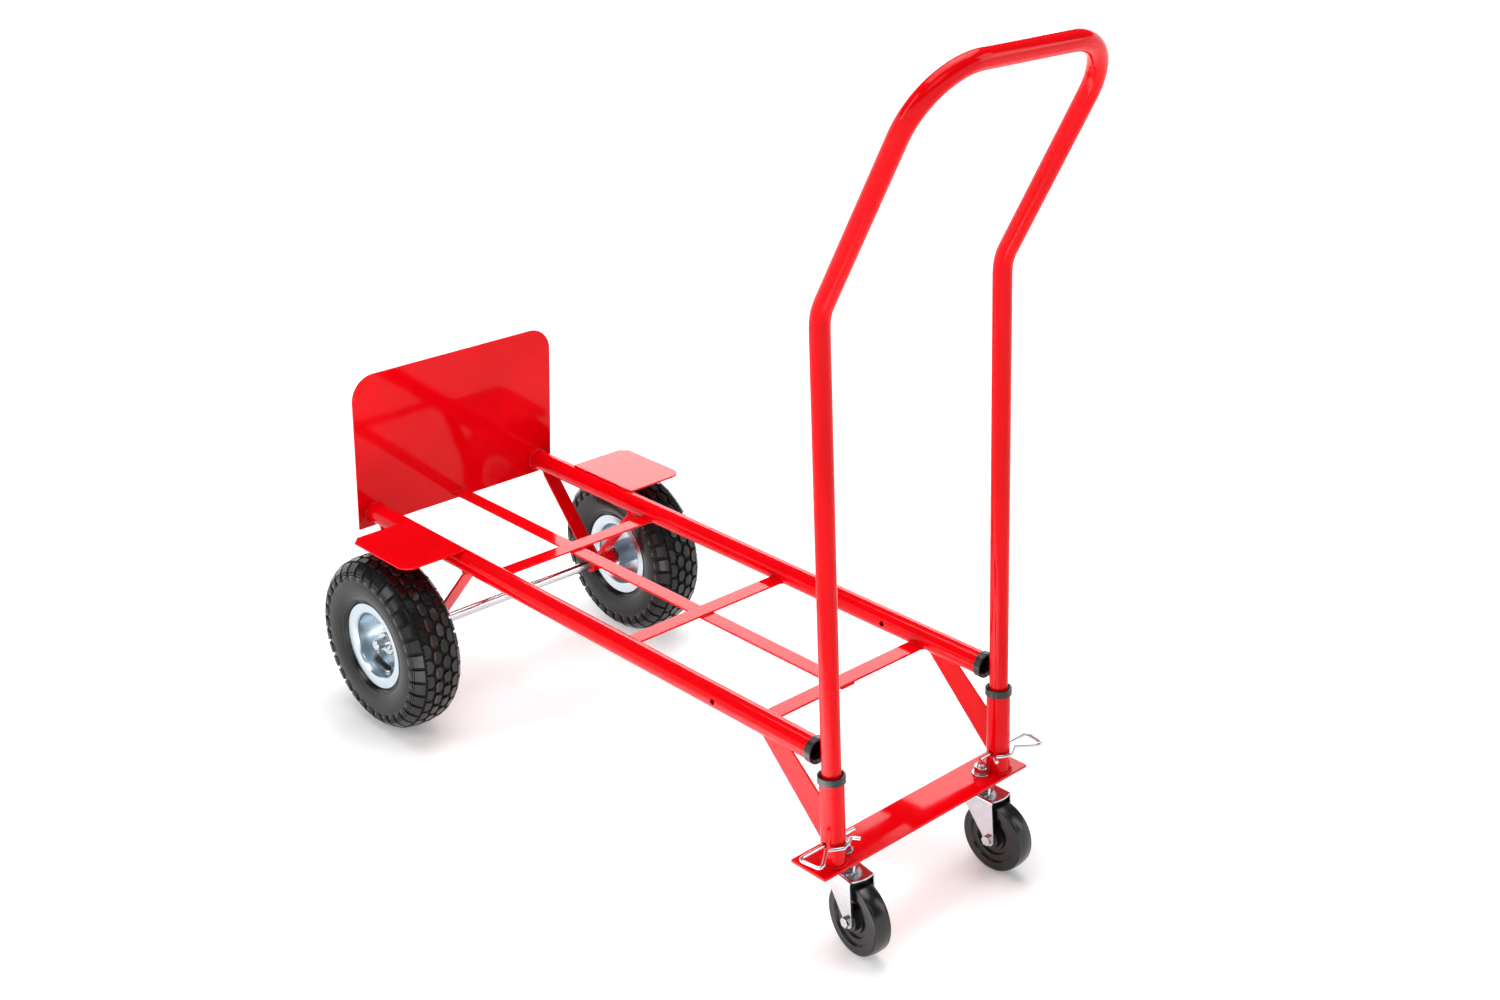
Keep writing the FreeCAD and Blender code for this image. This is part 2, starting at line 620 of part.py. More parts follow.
def rim_bolts(side, sign):
    """Hexagon bolts and nuts that clamp the two rim halves."""
    metal, solids = D.rim_sheet.value, []
    for radius, turn in rim_bolt_places():
        shank = Part.makeCylinder(RIM_BOLT / 2, 2 * metal + 9, VECTOR(0, 0, -metal), Z_AXIS)
        head = moved(hexagon(RIM_BOLT_FLATS, 4), z=-metal - 4)
        nut = moved(hexagon(RIM_BOLT_FLATS, 5), z=metal)
        nut = nut.cut(Part.makeCylinder(RIM_BOLT / 2, 5, VECTOR(0, 0, metal), Z_AXIS))
        for solid in (shank.fuse(head), nut):
            upright = moved(solid, axis=X_AXIS, angle=-90 * sign)
            solids.append(moved(upright, radius * math.cos(turn), 0, -radius * math.sin(turn)))
    place_on_axle(free_shape("rim_bolts_" + side, Part.makeCompound(solids)), side, VALVE_TURN)


# ---------------------------------------------------------------- casters

RACE_HEIGHT, CASTER_BALL, CASTER_BALL_COUNT, BALL_CIRCLE = 6, 5, 18, 16
KINGPIN_FLATS, KINGPIN_WASHER = 17, 24
CUP_RADIUS, CUP_HEIGHT, FORK_BEND = 18.5, 4.6, 3.5
CASTER_BUSH, CASTER_BOLT_FLATS = 12.8, 13


def caster_heights():
    """Heights above the floor of the upper race's underside and of the fork's flat top."""
    race_bottom = PLATE_BOTTOM.value - RACE_HEIGHT
    return race_bottom, race_bottom - CASTER_BALL - 0.2 - CUP_HEIGHT


def at_kingpin(piece, side):
    """Place a piece that swivels: on its kingpin, at the angle where its caster rests."""
    turn = getattr(D, "caster_swivel_" + side)
    return put(piece, D.toe_face_x + D.kingpin_x, SIDES[side] * D.kingpin_half_spacing, 0, Z_AXIS, turn)


def kingpin_parts():
    """Kingpins, their nuts and washers over the plate, and the upper races under it."""
    race_bottom, fork_top = caster_heights()
    radius = D.kingpin_diameter.value / 2
    top = D.plate_top_above.value
    head_top = fork_top - D.fork_sheet.value - 0.5
    shank = Part.makeCylinder(radius, top + 17 - head_top, VECTOR(0, 0, head_top), Z_AXIS)
    pin = shank.fuse(moved(hexagon(KINGPIN_FLATS, 7), z=head_top - 7))
    washer = Part.makeCylinder(KINGPIN_WASHER / 2, 2.5, VECTOR(0, 0, top), Z_AXIS)
    nut = moved(hexagon(KINGPIN_FLATS, 10), z=top + 2.5)
    nut = nut.common(Part.makeSphere(11.9, VECTOR(0, 0, top + 4.5)))
    bore = Part.makeCylinder(radius + 0.05, 40, VECTOR(0, 0, race_bottom), Z_AXIS)
    race = Part.makeCylinder(D.race_od.value / 2, 2.5, VECTOR(0, 0, PLATE_BOTTOM.value - 2.5), Z_AXIS)
    race = race.fuse(Part.makeCylinder(BALL_CIRCLE + 4, RACE_HEIGHT, VECTOR(0, 0, race_bottom), Z_AXIS))
    for name, solid in (("kingpins", pin), ("kingpin_washers", washer.cut(bore)),
                        ("kingpin_nuts", nut.cut(bore)), ("caster_upper_races", race.cut(bore))):
        x, half = (D.toe_face_x + D.kingpin_x).value, D.kingpin_half_spacing.value
        free_shape(name, Part.makeCompound([moved(solid, x, sign * half) for sign in SIDES.values()]))


def caster_balls(side):
    race_bottom, _ = caster_heights()
    balls = ball_ring(CASTER_BALL_COUNT, BALL_CIRCLE, CASTER_BALL, Z_AXIS, race_bottom - CASTER_BALL / 2 - 0.1)
    at_kingpin(free_shape("caster_balls_" + side, Part.makeCompound(balls)), side)


def fork(side):
    """Pressed fork: a top plate with a raised ball cup, and two arms that taper to the axle."""
    _, top = caster_heights()
    trail, axle_z, boss = D.caster_trail, D.caster_axle_above, 9.5
    back, front = -20, trail + 3
    outline = [(back, top), (back, top - 5), (trail - boss, axle_z + 2),
               (trail, axle_z - boss, -quarter_bulge(boss)), (trail + boss, axle_z, -quarter_bulge(boss)),
               (front, top - 8), (front, top)]
    owner = body("fork_" + side)
    sketch = attach_sketch(owner, "XZ_Plane")
    add_outline(sketch, outline)
    pad(owner, sketch, D.fork_gap + D.fork_sheet * 2, midplane=True)
    doc.recompute()
    before = owner.Shape.Volume
    inside = attach_sketch(owner, "XZ_Plane")
    under, far = top - D.fork_sheet, D.caster_wheel_od
    add_outline(inside, [(-far, 0), (far, 0), (far, under), (-far, under)])
    channel = owner.newObject("PartDesign::Pocket", owner.Name + "_channel")
    channel.Profile = inside
    channel.Midplane = True
    channel.setExpression("Length", D.fork_gap.text)
    doc.recompute()
    if not owner.Shape.Volume < before / 2:
        raise RuntimeError(owner.Label + ": the channel wasn't cut")
    drill(owner, "XZ_Plane", [(D.caster_axle_diameter + 0.3, trail, axle_z)])
    round_top_edges(owner, top)
    flat = D.fork_gap / 2 + D.fork_sheet - FORK_BEND
    nose = attach_sketch(owner, "XY_Plane")
    nose.AttachmentOffset.Base = VECTOR(0, 0, under.value)
    add_outline(nose, [(front, flat, -3.5), (0, flat), (0, -flat), (front, -flat)])
    pad(owner, nose, D.fork_sheet)
    cup = attach_sketch(owner, "XY_Plane")
    cup.AttachmentOffset.Base = VECTOR(0, 0, top)
    add_circle(cup, CUP_RADIUS * 2)
    pad(owner, cup, CUP_HEIGHT)
    drill(owner, "XY_Plane", [(D.kingpin_diameter + 0.6, 0, 0)])
    at_kingpin(owner, side)


def round_top_edges(owner, top):
    """Round the fork's two long bends, where its arms leave the top plate."""
    half, last = (D.fork_gap / 2 + D.fork_sheet).value, owner.Tip
    bends = ["Edge%d" % (i + 1) for i, edge in enumerate(last.Shape.Edges)
             if abs(edge.BoundBox.YLength) < 1e-3 and abs(abs(edge.BoundBox.Center.y) - half) < 1e-3
             and abs(edge.BoundBox.ZMin - top) < 1e-3]
    rounding = owner.newObject("PartDesign::Fillet", owner.Name + "_bends")
    rounding.Base = (last, bends)
    rounding.Radius = FORK_BEND
    doc.recompute()


def caster_wheel(side):
    """Solid wheel with ringed recesses in both faces and a raised hub."""
    radius, half = D.caster_wheel_od / 2, D.caster_wheel_width / 2
    hub_half = D.fork_gap / 2 - 0.6
    run = [(radius - 1, 4 - half, 1), (radius - 4, -half, 1.2), (radius - 14, -half), (radius - 16, 3 - half),
           (radius - 24, 3 - half), (radius - 26, 6 - half), (20, 6 - half), (19, 3 - half), (15, 3 - half),
           (14, -hub_half), (CASTER_BUSH / 2 + 0.1, -hub_half)]
    piece = revolve(body("caster_wheel_" + side), run + mirrored(run), "XY_Plane", "V_Axis")
    at_caster_axle(piece, side)


def at_caster_axle(piece, side):
    """Place a piece on the caster's own axle, behind its kingpin along the resting swivel angle."""
    turn = getattr(D, "caster_swivel_" + side)
    along = (of_angle(math.cos, "cos", turn), of_angle(math.sin, "sin", turn))
    put(piece, D.toe_face_x + D.kingpin_x + D.caster_trail * along[0],
        SIDES[side] * D.kingpin_half_spacing + D.caster_trail * along[1], D.caster_axle_above, Z_AXIS, turn)


def caster_axle_parts(side):
    """Plain bush that the wheel turns on, and the bolt and nut that clamp it in the fork."""
    bush = tube("caster_bush_" + side, "XZ_Plane", CASTER_BUSH, D.caster_axle_diameter + 0.3, D.fork_gap, True)
    at_caster_axle(bush, side)
    outside = D.fork_gap.value / 2 + D.fork_sheet.value
    radius = D.caster_axle_diameter.value / 2
    shank = Part.makeCylinder(radius, outside * 2 + 9, VECTOR(0, 0, -outside), Z_AXIS)
    head = moved(hexagon(CASTER_BOLT_FLATS, 5.3), z=-outside - 5.3)
    nut = moved(hexagon(CASTER_BOLT_FLATS, 6.5), z=outside)
    nut = nut.cut(Part.makeCylinder(radius, 6.5, VECTOR(0, 0, outside), Z_AXIS))
    solids = [moved(solid, axis=X_AXIS, angle=-90) for solid in (shank.fuse(head), nut)]
    at_caster_axle(free_shape("caster_axle_" + side, Part.makeCompound(solids)), side)


# ---------------------------------------------------------------- handle and lock pins

def on_leg(sign, height):
    """A point on a handle leg's axis, so far up the leaning sleeve from the caster plate."""
    return VECTOR((SLEEVE_X - LEAN_SIN * height).value, sign * D.rail_half_spacing.value,
                  (D.plate_top_above + LEAN_COS * height).value)


def handle():
    """One bent tube: two straight legs, two lower bends, two raised arms and a rounded top bar."""
    tilt = math.radians(D.handle_bend.value - D.handle_lean.value)
    reach = VECTOR(math.sin(tilt), 0, math.cos(tilt)) * D.upper_length.value
    feet = {sign: on_leg(sign, D.leg_foot_gap) for sign in (-1, 1)}
    bends = {sign: on_leg(sign, D.leg_length) for sign in (-1, 1)}
    corners = [feet[-1], bends[-1], bends[-1] + reach, bends[1] + reach, bends[1], feet[1]]
    bend, top = D.bend_radius.value, D.top_corner_radius.value
    path = rounded_path(corners, [bend, top, top, bend])
    tubing = round_bar(path, D.leg_od.value).cut(round_bar(path, D.leg_bore.value))
    for sign in SIDES.values():
        centre = on_leg(sign, D.lock_pin_height) - Y_AXIS * 20
        tubing = tubing.cut(Part.makeCylinder(D.pin_hole_diameter.value / 2, 40, centre, Y_AXIS))
    free_shape("handle", tubing)


def lock_pin(side, sign):
    """Bent wire: a straight leg through sleeve and handle, and a spring leg round the sleeve's front.

    Corners are offsets from the sleeve's axis: forwards, and outwards from the deck.
    """
    out = D.lock_reach_out.value
    offsets = [(0, -D.lock_reach_in.value), (0, out), (32, out - 5), (29, 47), (10, 22), (21.5, 3),
               (17.5, -9), (10.5, -20.5), (21, -28)]
    centre = on_leg(sign, D.lock_pin_height)
    corners = [centre + VECTOR(x, sign * y, 0) for x, y in offsets]
    wire = round_bar(rounded_path(corners, [6, 4, 5, 4, 3.5, 4, 4]), D.lock_wire.value)
    free_shape("lock_pin_" + side, wire)


# ---------------------------------------------------------------- build, check and write

def build():
    toe_plate()
    for name in ("front", "middle", "rear"):
        crossbar(name, getattr(D, "crossbar_%s_x" % name))
    centre_bar()
    cross_plate()
    for side, sign in SIDES.items():
        for maker in (rail, rail_collar, fender, axle_boss, sleeve, sleeve_collar, gusset):
            maker(side, sign)
        strut("front", D.strut_front_x, side, sign)
        strut("rear", D.strut_rear_x, side, sign)
        tyre(side)
        rim(side, sign)
        hub(side, sign)
        wheel_bearings(side, sign)
        inner_tube(side, sign)
        rim_bolts(side, sign)
        caster_balls(side)
        fork(side)
        caster_wheel(side)
        caster_axle_parts(side)
        lock_pin(side, sign)
    axle()
    axle_fittings()
    kingpin_parts()
    handle()


def check_and_write():
    doc.recompute()
    for item in doc.Objects:
        if "Invalid" in item.State or "Error" in item.State:
            raise RuntimeError("%s failed to build: %s" % (item.Label, item.State))
    os.makedirs("parts", exist_ok=True)
    whole = FreeCAD.BoundBox()
    for piece in NODES:
        if piece.Shape.isNull() or not piece.Shape.isValid():
            raise RuntimeError(piece.Label + " has no valid shape")
        piece.Shape.exportStep("parts/%s.step" % piece.Label)
        whole.add(piece.Shape.optimalBoundingBox(False))
    print("%d pieces, X %.2f..%.2f  Y %.2f..%.2f  Z %.2f..%.2f" % (
        len(NODES), whole.XMin, whole.XMax, whole.YMin, whole.YMax, whole.ZMin, whole.ZMax))


build()
check_and_write()
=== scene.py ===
"""Convertible hand truck, laid flat as a platform cart: looks, lights and camera round the CAD frame."""
import json
import math
import random

import bmesh
import bpy
from mathutils import Matrix, Vector


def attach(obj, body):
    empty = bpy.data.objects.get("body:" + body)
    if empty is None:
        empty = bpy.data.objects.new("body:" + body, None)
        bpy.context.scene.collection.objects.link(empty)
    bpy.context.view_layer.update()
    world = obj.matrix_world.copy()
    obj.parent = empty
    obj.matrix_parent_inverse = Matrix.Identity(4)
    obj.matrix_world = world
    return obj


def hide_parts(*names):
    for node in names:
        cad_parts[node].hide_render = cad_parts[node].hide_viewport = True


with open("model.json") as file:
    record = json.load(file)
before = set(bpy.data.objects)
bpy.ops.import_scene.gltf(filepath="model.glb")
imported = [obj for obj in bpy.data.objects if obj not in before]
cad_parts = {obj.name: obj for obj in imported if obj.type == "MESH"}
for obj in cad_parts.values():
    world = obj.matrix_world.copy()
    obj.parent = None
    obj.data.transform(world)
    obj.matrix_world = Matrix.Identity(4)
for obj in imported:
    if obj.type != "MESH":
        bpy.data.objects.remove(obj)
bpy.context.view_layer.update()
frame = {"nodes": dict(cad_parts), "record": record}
NODES, SCENE = frame["nodes"], bpy.context.scene
MM = 0.001
SIDES = {"left": 1, "right": -1}
WHEEL = Vector((-0.41316, 0.241, 0.1375))  # the left wheel's centre; the right one is its mirror image

# ---------------------------------------------------------------- materials


class Nodes:
    """A material's node tree with short calls to add and join nodes."""

    def __init__(self, name):
        self.material = bpy.data.materials.new(name)
        self.material.use_nodes = True
        self.tree = self.material.node_tree
        self.shader = self.tree.nodes["Principled BSDF"]
        self.where = self.add("ShaderNodeTexCoord").outputs["Object"]

    def add(self, kind, **values):
        node = self.tree.nodes.new(kind)
        for key, value in values.items():
            if hasattr(node, key):
                setattr(node, key, value)
            else:
                node.inputs[key.replace("_", " ")].default_value = value
        return node

    def join(self, start, end):
        self.tree.links.new(start, end)

    def noise(self, scale, detail=2.0, rough=0.5, stretch=None):
        node = self.add("ShaderNodeTexNoise", Scale=scale, Detail=detail, Roughness=rough)
        self.join(self.place(stretch) if stretch else self.where, node.inputs["Vector"])
        return node.outputs["Fac"]

    def place(self, scale=(1, 1, 1), shift=(0, 0, 0)):
        node = self.add("ShaderNodeMapping")
        node.inputs["Scale"].default_value = scale
        node.inputs["Location"].default_value = shift
        self.join(self.where, node.inputs["Vector"])
        return node.outputs["Vector"]

    def ramp(self, value, stops):
        """A colour ramp; each stop is its place and a colour or one grey level."""
        node = self.add("ShaderNodeValToRGB")
        self.join(value, node.inputs["Fac"])
        ramp = node.color_ramp
        while len(ramp.elements) < len(stops):
            ramp.elements.new(1)
        for element, (place, colour) in zip(ramp.elements, stops):
            element.position = place
            element.color = (*colour, 1) if isinstance(colour, tuple) else (colour, colour, colour, 1)
        return node.outputs["Color"]

    def math(self, operation, first, second=None):
        node = self.add("ShaderNodeMath", operation=operation)
        for socket, value in zip(node.inputs, (first, second)):
            if isinstance(value, (int, float)):
                socket.default_value = value
            elif value is not None:
                self.join(value, socket)
        return node.outputs[0]

    def set(self, **values):
        for key, value in values.items():
            socket = self.shader.inputs[key.replace("_", " ")]
            if isinstance(value, (int, float, tuple)):
                socket.default_value = value
            else:
                self.join(value, socket)

    def bumps(self, *layers):
        """Bump layers, each a height value, its strength and its depth in metres."""
        normal = None
        for height, strength, distance in layers:
            node = self.add("ShaderNodeBump", Strength=strength, Distance=distance)
            self.join(height, node.inputs["Height"])
            if normal:
                self.join(normal, node.inputs["Normal"])
            normal = node.outputs["Normal"]
        self.join(normal, self.shader.inputs["Normal"])


def red_paint():
    """Thick gloss coat over steel: slow waves and fine orange peel."""
    m = Nodes("red_paint")
    tone = m.ramp(m.noise(9, 3), [(0.3, (0.66, 0.0002, 0.0026)), (0.7, (0.76, 0.0006, 0.0045))])
    m.set(Base_Color=tone, Roughness=m.ramp(m.noise(60, 3), [(0.3, 0.06), (0.75, 0.09)]),
          Specular_IOR_Level=0.15, IOR=1.5)
    m.bumps((m.noise(11, 1), 0.09, 0.0035), (m.noise(420, 1), 0.045, 0.0002))
    return m.material


def zinc(name, colour, rough, wave, scratch, patchy=0.33):
    """Zinc plate: faint clouds of brightness, fine drawing lines and shallow dents."""
    m = Nodes(name)
    dark = tuple((1 - 0.4 * patchy) * c for c in colour)
    m.set(Base_Color=m.ramp(m.noise(70, 5, 0.6), [(0.32, dark), (0.68, colour)]), Metallic=1.0,
          Roughness=m.ramp(m.noise(180, 4, 0.65), [(0.3, rough * (1 - patchy)), (0.7, rough * (1 + patchy))]))
    m.bumps((m.noise(45, 1), wave, 0.001), (m.noise(500, 2, 0.6, scratch), 0.3 * patchy, 0.0002))
    return m.material


def steel():
    m = Nodes("bearing_steel")
    m.set(Base_Color=(0.72, 0.72, 0.74, 1), Metallic=1.0,
          Roughness=m.ramp(m.noise(300, 4), [(0.3, 0.12), (0.7, 0.3)]))
    m.bumps((m.noise(900, 2), 0.08, 0.0002))
    return m.material


def rubber(name, grey, shine, grain, brown=0.0, patchy=0.3, gloss=0.5):
    """Moulded rubber: patchy bloom, uneven shine and a fine grain."""
    m = Nodes(name)
    deep, bloom = (grey * 0.6, grey * 0.6, grey * 0.62), (grey * 1.8, grey * (1.8 - brown), grey * (1.78 - brown))
    m.set(Base_Color=m.ramp(m.noise(38, 6, 0.7), [(0.33, deep), (0.72, bloom)]),
          Roughness=m.ramp(m.noise(120, 5, 0.65), [(0.28, shine * (1 - patchy)), (0.75, shine * (1 + patchy))]),
          Specular_IOR_Level=gloss)
    m.bumps((m.noise(160, 3), 0.5 * patchy, 0.0008), (m.noise(1500, 2), grain, 0.0002))
    return m


def tyre_rubber():
    """Tyre rubber with painted shade in its grooves, darker and duller there, with the mould's thin brown line
    beside the tread's middle.
    """
    # In metres: the line's distance from the truck's middle, its half width, and the radius above which it shows.
    line_out, line_half, crown = 0.2525, 0.0014, 0.1352
    m = rubber("tyre_rubber", 0.0030, 0.23, 0.08, 0.10, 0.30, 0.40)
    split = m.add("ShaderNodeSeparateXYZ")
    m.join(m.where, split.inputs[0])
    off = m.math("ABSOLUTE", m.math("SUBTRACT", m.math("ABSOLUTE", split.outputs["Y"]), line_out))
    band = m.math("LESS_THAN", off, line_half)
    x, z = (m.math("POWER", m.math("ABSOLUTE", m.math("SUBTRACT", split.outputs[key], middle)), 2.0)
            for key, middle in (("X", WHEEL.x), ("Z", WHEEL.z)))
    top = m.math("GREATER_THAN", m.math("ADD", x, z), crown ** 2)
    worn = m.ramp(m.noise(55, 4, 0.7), [(0.42, 0.0), (0.60, 0.85)])
    mix = m.add("ShaderNodeMix", data_type="RGBA")
    m.join(m.math("MULTIPLY", m.math("MULTIPLY", band, top), worn), mix.inputs["Factor"])
    colours = [socket for socket in mix.inputs if socket.type == "RGBA"]
    m.join(m.shader.inputs["Base Color"].links[0].from_socket, colours[0])
    colours[1].default_value = (0.10, 0.034, 0.028, 1)
    result = [socket for socket in mix.outputs if socket.type == "RGBA"][0]
    # Painted shade: the 'height' attribute scales the base colour down to 0.15 at the foot of the grooves, where
    # shade falls; it also makes the grooves rougher.
    height = m.add("ShaderNodeAttribute", attribute_name="height").outputs["Fac"]
    shade = m.add("ShaderNodeVectorMath", operation="SCALE")
    m.join(result, shade.inputs[0])
    m.join(m.math("ADD", m.math("MULTIPLY", height, 0.85), 0.15), shade.inputs["Scale"])
    dull = m.math("MULTIPLY", m.math("SUBTRACT", 1.0, height), 0.6)
    m.set(Base_Color=shade.outputs[0],
          Roughness=m.math("ADD", m.shader.inputs["Roughness"].links[0].from_socket, dull))
    return m.material


def black_plastic():
    m = Nodes("black_collar")
    m.set(Base_Color=m.ramp(m.noise(90, 3), [(0.3, 0.006), (0.75, 0.012)]),
          Roughness=m.ramp(m.noise(240, 3), [(0.3, 0.24), (0.75, 0.42)]), Specular_IOR_Level=0.5)
    m.bumps((m.noise(1300, 2), 0.16, 0.0002))
    return m.material


MATERIALS = {
    "red_paint": red_paint(),
    "black_collar": black_plastic(),
    "bright_zinc": zinc("bright_zinc", (0.64, 0.66, 0.69), 0.15, 0.03, (1, 0.08, 1)),
    "zinc_rim": zinc("zinc_rim", (0.62, 0.70, 0.76), 0.25, 0.01, (1, 1, 1), 0.10),
    "bearing_steel": steel(),
    "tyre_rubber": tyre_rubber(),
    "tube_rubber": rubber("tube_rubber", 0.006, 0.30, 0.08).material,
    "caster_rubber": rubber("caster_rubber", 0.0035, 0.24, 0.03, 0.0, 0.08).material,
}
SLOT_OF = {part["node"]: part["material_slot"] for part in frame["record"]["subparts"]}
for node, slot in SLOT_OF.items():
    NODES[node].data.materials.clear()
    NODES[node].data.materials.append(MATERIALS[slot])

# ---------------------------------------------------------------- soft edges on the CAD pieces


def soften(names, width, angle=38):
    """Round a sheet or bar piece's sharp edges so that they catch the light."""
    for name in names:
        piece = NODES[name]
        piece.data.shade_smooth()
        piece.modifiers.new("weld", "WELD").merge_threshold = 1e-5
        flat = piece.modifiers.new("flat", "DECIMATE")
        flat.decimate_type, flat.angle_limit = "DISSOLVE", math.radians(0.4)
        bevel = piece.modifiers.new("edges", "BEVEL")
        bevel.width, bevel.segments, bevel.limit_method = width * MM, 3, "ANGLE"
        bevel.angle_limit, bevel.use_clamp_overlap = math.radians(angle), True
        bevel.miter_outer = "MITER_ARC"
        normals = piece.modifiers.new("normals", "WEIGHTED_NORMAL")
        normals.weight, normals.keep_sharp = 100, False


both = [name + "_" + side for side in SIDES for name in
        ("fender", "strut_front", "strut_rear", "gusset", "fork")]
soften(both + ["toe_plate", "crossbar_front", "crossbar_middle", "crossbar_rear", "centre_bar",
               "caster_plate"], 0.8)
soften([name + "_" + side for side in SIDES for name in ("axle_boss", "sleeve", "caster_axle", "rim_bolts")]
       + ["kingpins", "kingpin_nuts", "kingpin_washers", "axle_washers"], 0.45)

# ---------------------------------------------------------------- helpers for new pieces


def make(name, points, faces, slot, body_name, sharp=35, heights=None):
    """A mesh piece from points in metres, riding on a body, with its record slot's material."""
    mesh = bpy.data.meshes.new(name)
    mesh.from_pydata([tuple(p) for p in points], [], faces)
    if heights:
        mesh.attributes.new("height", "FLOAT", "POINT").data.foreach_set("value", heights)
    mesh.materials.append(MATERIALS[slot])
    bm = bmesh.new()
    bm.from_mesh(mesh)
    bmesh.ops.recalc_face_normals(bm, faces=bm.faces)
    bm.to_mesh(mesh)
    bm.free()
    mesh.shade_smooth()
    mesh.set_sharp_from_angle(angle=math.radians(sharp))
    piece = bpy.data.objects.new(name, mesh)
    SCENE.collection.objects.link(piece)
    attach(piece, body_name)
    return piece


def shell(rings, closed_ends=True, loop=False):
    """Points and faces of a skin over rings of points that all have the same count."""
    count = len(rings[0])
    points = [p for ring in rings for p in ring]
    faces = []
    for i in range(len(rings) if loop else len(rings) - 1):
        here, there = i * count, (i + 1) % len(rings) * count
        faces += [(here + k, here + (k + 1) % count, there + (k + 1) % count, there + k) for k in range(count)]
    if closed_ends and not loop:
        faces += [tuple(range(count))[::-1], tuple(range(len(points) - count, len(points)))]
    return points, faces


def gather(shells):
    """Several shells as one list of points and faces."""
    points, faces = [], []
    for some, tris in shells:
        faces += [tuple(len(points) + k for k in face) for face in tris]
        points += some
    return points, faces


def smooth_run(keys, steps):
    """Points on a smooth curve through a run of 2-D keys."""
    run = []
    for i in range(len(keys) - 1):
        a, b, c, d = (Vector(keys[min(max(i + k, 0), len(keys) - 1)]) for k in (-1, 0, 1, 2))
        for j in range(steps):
            t = j / steps
            run.append(b + ((c - a) * t + (2 * a - 5 * b + 4 * c - d) * t ** 2
                            + (3 * b - a - 3 * c + d) * t ** 3) / 2)
    return run + [Vector(keys[-1])]


# ---------------------------------------------------------------- weld beads

rng = random.Random(7)


def bead(path, radius, closed=False, step=0.7):
    """A rippled weld bead along a run of points in millimetres."""
    path = [Vector(p) for p in path]
    if closed:
        path.append(path[0])
    lengths = [(b - a).length for a, b in zip(path, path[1:])]
    count = max(4, int(sum(lengths) / step))
    phase, wander, rings = rng.uniform(0, 6), 0.0, []
    for i in range(count if closed else count + 1):
        along, k = sum(lengths) * i / count, 0
        while k < len(lengths) - 1 and along > lengths[k]:
            along -= lengths[k]
            k += 1
        here = path[k].lerp(path[k + 1], min(along / lengths[k], 1))
        forward = (path[k + 1] - path[k]).normalized()
        side = forward.orthogonal().normalized()
        up = forward.cross(side)
        ripple = 1 + 0.10 * math.sin(phase + i * step * 2 * math.pi / 2.1) + rng.uniform(-0.05, 0.05)
        wander = 0.86 * wander + rng.uniform(-0.07, 0.07)
        end = 1 if closed else min(1, 0.35 + 0.4 * min(i, count - i) * step / radius)
        size = radius * (ripple + wander) * end
        rings.append([(here + (side * math.cos(t) + up * math.sin(t)) * size) * MM
                      for t in (2 * math.pi * n / 8 for n in range(8))])
    return shell(rings, loop=closed)


def ring_path(centre, radius, count=40, start=0.0, sweep=360.0, lean=0.0, axis="Z"):
    """Points on a circle, or part of one, square to Z or X; lean shifts each point along X with its height."""
    points = []
    for k in range(count if sweep == 360 else count + 1):
        t = math.radians(start + sweep * k / count)
        a, b = radius * math.cos(t), radius * math.sin(t)
        points.append(Vector(centre) + Vector((a, b, 0) if axis == "Z" else (b * lean, a, b)))
    return points


# Places on the frame in millimetres, as the CAD pieces have them.
RAIL_Y, RAIL_Z, RAIL_R = 161.4, 279.0, 16.0
TOE_X, AXLE_X, AXLE_Z, BOSS_R = -562.16, -413.16, 137.5, 13.5
SLEEVE_X, PLATE_TOP = 454.64, 131.0
BAR_TOP, BAR, BAR_HALF = 271.0, 3.0, 12.5
CROSSBARS = (-264.16, 30.34, 308.34)
CENTRE_BAR_END = 320  # the centre bar stops here, so it has no weld beyond
FENDER_WELDS = (-440, -389, -338)
STRUTS = ((-528.16, 3.0), (-310.16, 2.7))  # where each strut meets the rail, and its half width there
GUSSET_TOP, GUSSET_FOOT = (322, 370.5), ((437.6, 150), (435.5, 181), (433.5, 212))
KINGPIN = (446.84, 134.0, 143.7)
VALVE_TURN = 177  # degrees round the wheel


def rail_welds(s):
    """Beads where a rail meets the toe plate, the crossbars and the fender; s is the side, 1 or -1."""
    y = s * RAIL_Y
    beads = [bead(ring_path((TOE_X + 1.2, y, RAIL_Z), RAIL_R + 0.6, lean=0.042, axis="X"), 2.1, True)]
    for x in CROSSBARS:
        for z, reach in ((BAR_TOP + 0.3, 147.1), (BAR_TOP - BAR - 0.5, 149.0)):
            beads.append(bead([(x - BAR_HALF, s * reach, z), (x + BAR_HALF, s * reach, z)], 1.9))
        for end in (-1, 1):
            edge = x + end * (BAR_HALF + 0.3)
            beads.append(bead([(edge, s * 147.0, BAR_TOP), (edge, s * 149.6, BAR_TOP - BAR - 0.8)], 1.8))
    for x in FENDER_WELDS:
        beads.append(bead([(x - 12, s * 161.0, 296.2), (x + 12, s * 161.0, 296.2)], 1.7))
        beads.append(bead([(x - 10, s * 167.6, 293.8), (x + 10, s * 167.6, 293.8)], 1.7))
    return beads


